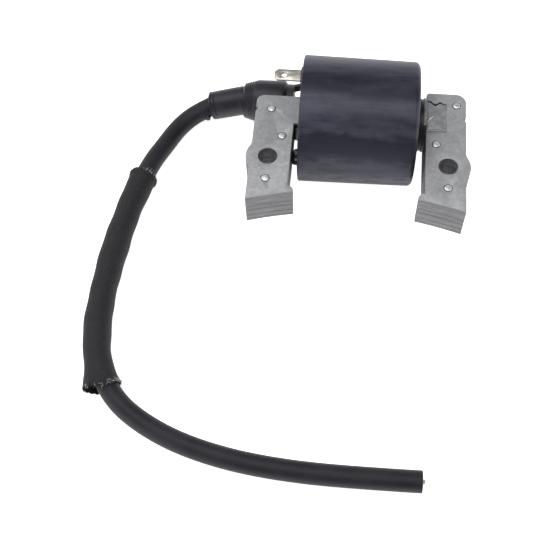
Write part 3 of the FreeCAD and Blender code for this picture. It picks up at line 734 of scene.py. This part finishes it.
# (distance, radius) in millimetres, from the wide end
flare = BOOT_R / MM
boot_stations = [(0.0, 4.6), (0.0, flare - 0.9), (0.3, flare - 0.35), (0.9, flare - 0.08),
                 (2.0, flare), (10.4, flare - 0.15), (11.6, 7.6)]
for groove in range(4):
    start = 12.1 + 0.85 * groove
    crest = 7.45 - 0.25 * groove
    boot_stations += [(start, crest), (start + 0.2, crest - 0.25), (start + 0.5, crest - 0.28),
                      (start + 0.7, crest - 0.1)]
boot_stations += [(15.6, 6.3), (16.1, 5.6), (16.1, 3.7)]
boot_stations = [(distance * MM, radius * MM) for distance, radius in boot_stations]
boot = turned("rubber_boot", boot_axis, (-1, 0, 0), boot_stations)
apply_modifier(boot, "BEVEL", width=0.12 * MM, segments=2, limit_method="ANGLE",
               angle_limit=math.radians(30))
dress(boot, "boot")
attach(boot, "root")
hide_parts("tower_boot")
print("boot %.1f mm long" % (BOOT_L / MM))


# %% [markdown]
# The collar runs from the boot to the place where the lead comes out. Two grooves near its mouth
# let it bend with the lead instead of kinking it.

# %% Collar
mouth = Vector(LEAD_ROUTE[0])
collar_start = Vector((boot_low[0], boot_axis.y, boot_axis.z))
collar_run = mouth - collar_start
collar_l = collar_run.length / MM
collar_stations = [(-1.5, 5.0), (0.0, 5.35), (0.6, 5.2), (1.6, 5.3), (collar_l * 0.77, 5.25)]
for place in (0.80, 0.90):
    groove = collar_l * place
    collar_stations += [(groove, 5.24), (groove + 0.15, 5.0), (groove + 0.4, 5.0),
                        (groove + 0.6, 5.22)]
collar_stations += [(collar_l - 0.2, 5.2), (collar_l, 5.0), (collar_l + 0.05, 3.55)]
collar_stations = [(distance * MM, radius * MM) for distance, radius in collar_stations]
collar = turned("strain_relief", collar_start, collar_run, collar_stations, steps=72)
dress(collar, "boot")
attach(collar, "root")
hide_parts("lead_collar")


# %% [markdown]
# ## Blade, seals and drops
#
# The blade is a stamping, so it only needs its edges broken. The seals are resin that crept up
# and set: a block that is subdivided and smoothed until it sags like a drop.

# %% Blade and drops
def cleaned_copy(node, name, bevel):
    """A copy of a node's mesh with its loose triangles merged and its edges rounded."""
    start_clean()
    piece = nodes[node].copy()
    piece.data = nodes[node].data.copy()
    piece.parent = None
    piece.name = name
    bpy.context.scene.collection.objects.link(piece)
    only(piece)
    bpy.ops.object.mode_set(mode="EDIT")
    bpy.ops.mesh.select_all(action="SELECT")
    bpy.ops.mesh.remove_doubles(threshold=MERGE)
    bpy.ops.mesh.dissolve_limited(angle_limit=math.radians(1.0))
    bpy.ops.object.mode_set(mode="OBJECT")
    apply_modifier(piece, "BEVEL", width=bevel, segments=2, limit_method="ANGLE",
                   angle_limit=math.radians(40))
    bpy.ops.object.shade_smooth_by_angle(angle=math.radians(35))
    return piece


def drop(name, centre, size, finish, node=None):
    """A smooth lump of set resin that fills a box."""
    start_clean()
    bpy.ops.mesh.primitive_cube_add(size=1.0, location=centre)
    piece = bpy.context.object
    piece.name = name
    piece.scale = size
    bpy.ops.object.transform_apply(location=True, rotation=True, scale=True)
    bpy.ops.object.mode_set(mode="EDIT")
    bpy.ops.mesh.select_all(action="SELECT")
    bpy.ops.mesh.subdivide(number_cuts=2)
    bpy.ops.mesh.vertices_smooth(factor=0.5, repeat=2)
    bpy.ops.object.mode_set(mode="OBJECT")
    apply_modifier(piece, "SUBSURF", levels=2, render_levels=2)
    for vertex in piece.data.vertices:
        vertex.co += Vector(random.uniform(-1, 1) for axis in range(3)) * 0.02 * MM
    settle(piece, 60)
    dress(piece, finish)
    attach(piece, "root")
    if node:
        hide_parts(node)
    return piece


def middle_and_size(node, grow=1.0):
    low, high = map(Vector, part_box(node))
    return (low + high) / 2, (high - low) * grow


blade = cleaned_copy("blade_terminal", "stop_blade", 0.09 * MM)
dress(blade, "tinned")
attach(blade, "root")
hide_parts("blade_terminal")
centre, size = middle_and_size("blade_seal", 1.15)
drop("blade_root_resin", centre, size, "resin", "blade_seal")
bead = drop("bar_bead", (-21.35 * MM, 14.0 * MM, 9.2 * MM), (3.4 * MM, 1.3 * MM, 9.4 * MM),
            "resin")
rim_drop = drop("rim_drop", (-20.8 * MM, 0.4 * MM, 16.7 * MM), (1.5 * MM, 1.7 * MM, 1.7 * MM),
                "resin")
mouth_drop = drop("mouth_drop", (-56.9 * MM, 32.0 * MM, -8.4 * MM), (2.2 * MM, 2.2 * MM, 2.2 * MM),
                  "resin")
beads = join("resin_run_out", [bead, rim_drop, mouth_drop])
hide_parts("resin_beads")
centre, size = middle_and_size("earth_tab", 1.1)
drop("earth_tab_resin", centre, size, "resin", "earth_tab")


# %% [markdown]
# The bar's end is glued into the right leg, and the varnish ran over the joint before it set: a
# thin uneven film. Its outline is filled, raised by its thickness and rounded over. A ragged dark
# strip along its upper edge is painted shade, and a near-white strip across its lower corner is a
# painted glint.

# %% Varnish film
FILM = [(22.9, 27.6), (24.0, 26.6), (25.4, 25.2), (26.6, 26.0), (28.0, 26.3), (29.1, 25.4),
        (29.7, 23.6), (29.6, 21.4), (29.9, 18.6), (29.5, 16.2), (28.3, 14.9), (26.2, 15.3),
        (24.4, 14.7), (22.9, 15.2)]
EDGE_SHADE_LINE = [(22.9, 27.4), (23.6, 26.9), (24.3, 26.7), (25.8, 25.3), (26.6, 25.9), (27.5, 26.6),
         (28.9, 25.9)]
GLINT_LINE = [(23.2, 17.6), (23.9, 19.2), (25.3, 20.5)]
FILM_T = 0.28 * MM
MARK_Z = 0.2 * MM
MARK_T = 0.12 * MM


def mesh_piece(name, points, faces):
    data = bpy.data.meshes.new(name)
    data.from_pydata(points, [], faces)
    piece = bpy.data.objects.new(name, data)
    bpy.context.scene.collection.objects.link(piece)
    settle(piece, 50)
    return piece


def plate(name, outline, bottom, thick, finish):
    """A thin rounded plate over an outline, lying on the leg's face."""
    points = [Vector((x * MM, y * MM, STACK_T + bottom)) for x, y in outline]
    piece = mesh_piece(name, points, [tuple(range(len(points)))])
    only(piece)
    bpy.ops.object.mode_set(mode="EDIT")
    bpy.ops.mesh.select_all(action="SELECT")
    bpy.ops.mesh.extrude_region_move(TRANSFORM_OT_translate={"value": (0, 0, thick)})
    bpy.ops.object.mode_set(mode="OBJECT")
    apply_modifier(piece, "BEVEL", width=thick * 0.4, segments=2, limit_method="ANGLE",
                   angle_limit=math.radians(50))
    settle(piece, 40)
    dress(piece, finish)
    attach(piece, "root")


def strip(line, wide):
    """Outline of a thin strip that follows a line and tapers at both ends."""
    last = len(line) - 1
    half = [wide * (0.25 if k in (0, last) else 0.5) for k in range(last + 1)]
    upper = [(x, y + h) for (x, y), h in zip(line, half)]
    lower = [(x, y - h) for (x, y), h in zip(line, half)]
    return upper + lower[::-1]


plate("varnish_film", FILM, 0.0, FILM_T, "varnish")
# painted shade: a ragged near-black strip along the film's upper edge
plate("film_edge_shade", strip(EDGE_SHADE_LINE, 0.75), MARK_Z, MARK_T, "edge_shade")
# painted glint: a near-white strip across the film's lower corner
plate("film_glint", strip(GLINT_LINE, 0.7), MARK_Z, MARK_T, "glint")


# %% [markdown]
# Between the case and the right leg, the end of the bobbin shows as a short ribbed neck. Varnish
# from the joint above was smeared over the part nearest to it.

# %% Neck of the bobbin
neck_stations = [(19.6, 8.95), (20.3, 8.98), (20.45, 9.25), (20.8, 9.25), (20.95, 8.98),
                 (21.6, 8.98), (21.75, 9.35), (22.6, 9.35), (22.7, 9.2), (22.7, 8.85),
                 (19.6, 8.85), (19.6, 8.95)]
SMEAR_FROM = (21.3 * MM, 14.5 * MM)
neck = turned("bobbin_neck", (0, AXIS.y, AXIS.z), (1, 0, 0),
              [(x * MM, r * MM) for x, r in neck_stations], hollow=True)
dress(neck, "moulding", "smear")
for face in neck.data.polygons:
    smeared = face.center.x > SMEAR_FROM[0] and face.center.y > SMEAR_FROM[1]
    face.material_index = 1 if smeared else 0
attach(neck, "root")


# %% [markdown]
# ## The braided sleeve
#
# The sleeve is a tube of crossing yarns. Half of them wind one way and half the other, and each
# passes over and under in turn, so a yarn is a flat ribbon on a helix whose radius swings with
# a cosine. The two families swing opposite ways, which weaves them with no bookkeeping.

# %% Braid
SLEEVE_TRIM = 1.5 * MM
SLEEVE_START = distance_at(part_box("braided_sleeve")[1][1] - SLEEVE_TRIM)
SLEEVE_END = distance_at(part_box("braided_sleeve")[0][1] + SLEEVE_TRIM)
SLEEVE_L = SLEEVE_END - SLEEVE_START
YARNS = 26                      # in each of the two families
TURN = 25.0 * MM
STEP = 0.25 * MM
YARN_HALF_W = 0.37 * MM
YARN_HALF_T = 0.14 * MM
YARN_SWING = 0.13 * MM
TABLE = cad_box[0][2]
OFF_TABLE = 0.15 * MM
LIP = 14.0 * MM                 # the length that stands off at the lower end
LIP_SPREAD = 2.9 * MM
LIP_PULL = 4.0 * MM


def sleeve_radius(distance, angle):
    """Radius of the sleeve: rolled at the upper end and uneven between."""
    from_top = distance / MM
    radius = 4.42 + 0.12 * math.sin(from_top * 0.21 + 1.0)
    radius += 0.10 * math.sin(from_top * 0.55 + angle)
    radius += 0.55 * math.exp(-((from_top - 1.2) / 1.1) ** 2)
    return radius * MM


def on_sleeve(place, distance, angle, lift=0.0):
    """A point of the sleeve, and the direction outwards there.

    At its lower end the sleeve runs straight on where the lead bends away, so its outer side
    stands off from the lead and ends a little sooner.
    """
    here, ahead, side, up = place
    out = side * math.cos(angle) + up * math.sin(angle)
    outer = max(math.cos(angle), 0.0) ** 1.5
    share = max(1.0 - (SLEEVE_L - distance) / LIP, 0.0) ** 1.7
    radius = sleeve_radius(distance, angle) + lift + LIP_SPREAD * outer * share
    point = here + out * radius - ahead * (LIP_PULL * outer * share)
    point.z = max(point.z, TABLE + OFF_TABLE)
    return point, out


count = int(SLEEVE_L / STEP)
places = [along(SLEEVE_START + SLEEVE_L * index / count) for index in range(count + 1)]


def yarn(points, faces, sense, number):
    """Add one yarn's ribbon, a flat diamond in section, to the lists of a mesh."""
    base = len(points)
    for index, place in enumerate(places):
        here, ahead, side, up = place
        distance = SLEEVE_L * index / count
        angle = sense * 2 * math.pi * distance / TURN + 2 * math.pi * number / YARNS
        round_way = up * math.cos(angle) - side * math.sin(angle)
        swing = sense * YARN_SWING * math.cos(YARNS * 2 * math.pi * distance / TURN)
        middle, out = on_sleeve(place, distance, angle, swing)
        slope = sense * 2 * math.pi * (middle - here).length / TURN
        across = (round_way - ahead * slope).normalized()
        wide = across * YARN_HALF_W
        thick = out * YARN_HALF_T
        points += [middle - wide, middle + thick, middle + wide, middle - thick]
        if index:
            a = base + 4 * index - 4
            for k in range(4):
                n = (k + 1) % 4
                faces.append((a + k, a + n, a + 4 + n, a + 4 + k))
    faces.append((base + 3, base + 2, base + 1, base))
    last = base + 4 * count
    faces.append((last, last + 1, last + 2, last + 3))


def weave():
    """Both families of yarns as one mesh."""
    points, faces = [], []
    for sense in (1, -1):
        for number in range(YARNS):
            yarn(points, faces, sense, number)
    return mesh_piece("braided_sleeve_yarns", points, faces)


sleeve = weave()
dress(sleeve, "yarn")
print("braid faces", len(sleeve.data.polygons), "sleeve %.1f mm" % (SLEEVE_L / MM))


# %% [markdown]
# Under the yarns lies a thin near-black lining. It is painted shade inside the sleeve, and it
# closes the pin holes between the yarns as the many fine filaments of a real yarn do. At the cut
# end the filaments come loose and stand out, and the near-white ones on the upper side are painted
# glints.

# %% Lining and loose fibres
LINING_STEP = 1.0 * MM
LINING_WALLS = (-0.12 * MM, -0.3 * MM)


def shade_lining():
    """A thin tube under the yarns, closed at both ends."""
    points, faces = [], []
    rings = int(SLEEVE_L / LINING_STEP)
    around = 36
    for wall in LINING_WALLS:
        for index in range(rings + 1):
            distance = SLEEVE_L * index / rings
            place = along(SLEEVE_START + distance)
            for k in range(around):
                points.append(on_sleeve(place, distance, 2 * math.pi * k / around, wall)[0])
    sheet = (rings + 1) * around
    for index in range(rings):
        for k in range(around):
            n = (k + 1) % around
            a, b = index * around + k, index * around + n
            faces.append((a, b, b + around, a + around))
            faces.append((sheet + a, sheet + a + around, sheet + b + around, sheet + b))
    for ring in (0, rings):
        for k in range(around):
            a, b = ring * around + k, ring * around + (k + 1) % around
            if ring == 0:
                faces.append((a, sheet + a, sheet + b, b))
            else:
                faces.append((a, b, sheet + b, sheet + a))
    return mesh_piece("sleeve_shade_lining", points, faces)


def fibre(points, faces, distance, angle, outward, length, thick):
    """One loose filament: a thin three-sided tube that wanders as it leaves the sleeve."""
    frame_here = along(SLEEVE_START + distance)
    ahead = frame_here[1]
    place, out = on_sleeve(frame_here, distance, angle)
    heading = (ahead * outward * random.uniform(0.2, 1.0) + out * random.uniform(0.1, 0.6)
               + out.cross(ahead) * random.uniform(-1.0, 1.0)).normalized()
    base = len(points)
    steps = 5
    for index in range(steps + 1):
        size = thick * (1.0 - 0.7 * index / steps)
        first = heading.cross(Vector((0.3, 0.2, 1.0))).normalized()
        second = heading.cross(first)
        for k in range(3):
            turn = 2 * math.pi * k / 3
            points.append(place + (first * math.cos(turn) + second * math.sin(turn)) * size)
        heading = (heading + Vector(random.uniform(-0.35, 0.35) for axis in range(3))).normalized()
        place = place + heading * (length / steps)
        place.z = max(place.z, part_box("lead_jacket")[0][2] + 0.1 * MM)
        if index:
            a = base + 3 * index - 3
            for k in range(3):
                n = (k + 1) % 3
                faces.append((a + k, a + n, a + 3 + n, a + 3 + k))
    faces.append((base + 2, base + 1, base))
    last = base + 3 * steps
    faces.append((last, last + 1, last + 2))


def fibres(name, count, glinting):
    """Filaments round both cut ends. The near-white ones are painted glints and lie on the upper
    side of the sleeve.
    """
    points, faces = [], []
    for index in range(count):
        lower = index % 4 != 0
        distance = SLEEVE_L - random.uniform(0, 1.3) * MM if lower else random.uniform(0, 0.8) * MM
        reach = random.uniform(0.8, 2.6) if lower else random.uniform(0.6, 1.6)
        # painted glints: the near-white filaments stay on the upper side
        angle = random.uniform(0.1 if lower else 0.5, 0.95) * math.pi
        if not glinting:
            angle *= random.uniform(0.0, 2.1)
        fibre(points, faces, distance, angle, 1.0 if lower else -1.0,
              reach * MM, (0.06 if glinting else 0.07) * MM)
    return mesh_piece(name, points, faces)


lining_piece = shade_lining()
dress(lining_piece, "shade_lining")
dark_fibres = fibres("frayed_yarn", 110, False)
dress(dark_fibres, "yarn")
# near-white filaments on the upper side, painted glints
glint_fibres = fibres("frayed_filament_glints", 80, True)
dress(glint_fibres, "fibre_glint")
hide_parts("braided_sleeve")
for piece in (sleeve, lining_piece, dark_fibres, glint_fibres):
    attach(piece, "root")


# %% [markdown]
# The lead takes its rubber finish and joins the root body, and the design's jacket is hidden.

lead.data.materials.append(finishes["lead"])
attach(lead, "root")
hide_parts("lead_jacket")


# %% [markdown]
# ## Floor and light
#
# The coil lies on a white table that glows a little, so its shadows are faint.

# %% Floor
def table_white():
    paint = Finish("table_white")
    return paint.shade(base_color=rgb(0.93, 0.93, 0.93), roughness=0.7,
                       emission_color=rgb(1, 1, 1), emission_strength=0.9)


start_clean()
bpy.ops.mesh.primitive_plane_add(size=6.0, location=(0, 0, cad_box[0][2]))
floor = bpy.context.object
floor.name = "table"
floor.data.materials.append(table_white())


# %% [markdown]
# A large soft box hangs above. Weaker ones at the side, behind the left and low in front open up
# the shadows, and one bright wall behind the table lays a soft sheen on the dark pieces.

# %% Lights
def soft_box(name, place, aim, size, power):
    data = bpy.data.lights.new(name, "AREA")
    data.shape = "RECTANGLE"
    data.size, data.size_y = size
    data.energy = power
    light = bpy.data.objects.new(name, data)
    light.location = place
    light.rotation_euler = (Vector(aim) - Vector(place)).to_track_quat("-Z", "Y").to_euler()
    bpy.context.scene.collection.objects.link(light)


soft_box("key", (-0.08, -0.06, 0.75), (0, 0.02, 0), (0.7, 0.4), 3.0)
soft_box("side", (0.7, -0.05, 0.35), (0, 0, 0), (0.4, 0.4), 1.3)
soft_box("fill", (-0.6, 0.2, 0.6), (0, 0, 0), (0.7, 0.7), 2.2)
soft_box("low", (-0.5, -0.45, 0.14), (-0.05, -0.05, 0), (0.3, 0.15), 0.9)


def bright_room():
    """A dim room with one bright wall behind the table."""
    world = bpy.data.worlds.new("bright_room")
    world.use_nodes = True
    tree = world.node_tree
    background = tree.nodes["Background"]
    direction = tree.nodes.new("ShaderNodeTexCoord")
    parts = tree.nodes.new("ShaderNodeSeparateXYZ")
    tree.links.new(direction.outputs["Generated"], parts.inputs["Vector"])
    masks = []
    for axis, values in (("Y", (0.0, 0.9, 0.0, 1.0)), ("Z", (0.05, 0.65, 1.0, 0.0))):
        ramp = tree.nodes.new("ShaderNodeMapRange")
        for name, value in zip(("From Min", "From Max", "To Min", "To Max"), values):
            ramp.inputs[name].default_value = value
        tree.links.new(parts.outputs[axis], ramp.inputs["Value"])
        masks.append(ramp.outputs["Result"])
    wall = tree.nodes.new("ShaderNodeMath")
    wall.operation = "MULTIPLY_ADD"
    tree.links.new(masks[0], wall.inputs[0])
    tree.links.new(masks[1], wall.inputs[1])
    wall.inputs[2].default_value = 0.2
    tree.links.new(wall.outputs["Value"], background.inputs["Strength"])
    background.inputs["Color"].default_value = rgb(0.94, 0.96, 1.0)
    bpy.context.scene.world = world


bright_room()
bpy.context.scene.view_settings.view_transform = "Standard"
